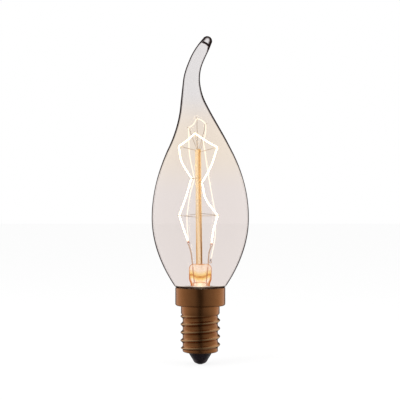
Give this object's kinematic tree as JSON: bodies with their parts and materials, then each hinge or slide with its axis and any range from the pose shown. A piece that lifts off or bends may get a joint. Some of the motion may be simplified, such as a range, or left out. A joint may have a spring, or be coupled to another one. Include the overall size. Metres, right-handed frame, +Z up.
{
  "type": "filament bulb",
  "caption": "Clear bent-tip candle lamp: blown glass bulb with a curved tail, filament loops hooked round a glass rod, and a skirted small screw cap.",
  "frame": {"origin": "centre of the contact's foot, on the axis of the screw cap", "axes": "+Z up through the cap and the glass; the tail bends in the XZ plane, first to -X and then to +X; the front faces -Y"},
  "size_m": [0.034, 0.034, 0.1147],
  "materials": {
    "envelope_glass": "clear blown soda glass, thin walled and glossy",
    "stem_glass": "clear lead glass, warm with the filament's light",
    "filament_wire": "coiled tungsten wire, glowing warm white",
    "hook_wire": "thin molybdenum wire, dull grey",
    "lead_wire": "nickel wire, satin",
    "seal_wire": "copper-clad seal wire, red where the glass wets it",
    "copper_lead": "bare copper wire",
    "cap_brass": "antique bronze plated brass sheet, satin gloss",
    "black_glass": "opaque black vitrite, glossy",
    "contact_metal": "tarnished contact, near black",
    "solder": "dull tin solder",
    "cement": "cured capping cement, matt"
  },
  "bodies": {
    "root": {"glass_envelope": "envelope_glass", "stem_flare": "stem_glass", "exhaust_tube": "stem_glass", "glass_rod": "stem_glass", "filament_front": "filament_wire", "filament_back": "filament_wire", "hook_front_lower_left": "hook_wire", "hook_front_waist_left": "hook_wire", "hook_front_upper_left": "hook_wire", "hook_front_peak": "hook_wire", "hook_front_upper_right": "hook_wire", "hook_front_waist_right": "hook_wire", "hook_front_lower_right": "hook_wire", "hook_back_lower_left": "hook_wire", "hook_back_waist": "hook_wire", "hook_back_shoulder_left": "hook_wire", "hook_back_peak": "hook_wire", "hook_back_shoulder_right": "hook_wire", "hook_back_neck": "hook_wire", "hook_back_lower_right": "hook_wire", "inner_lead_left": "lead_wire", "inner_lead_right": "lead_wire", "seal_wire_left": "seal_wire", "seal_wire_right": "seal_wire", "fuse_wire": "hook_wire", "outer_lead_side": "copper_lead", "outer_lead_centre": "copper_lead", "cap_shell": "cap_brass", "cap_insulator": "black_glass", "centre_contact": "contact_metal", "centre_solder": "solder", "side_solder": "solder", "basing_cement": "cement"}
  },
  "joints": []
}
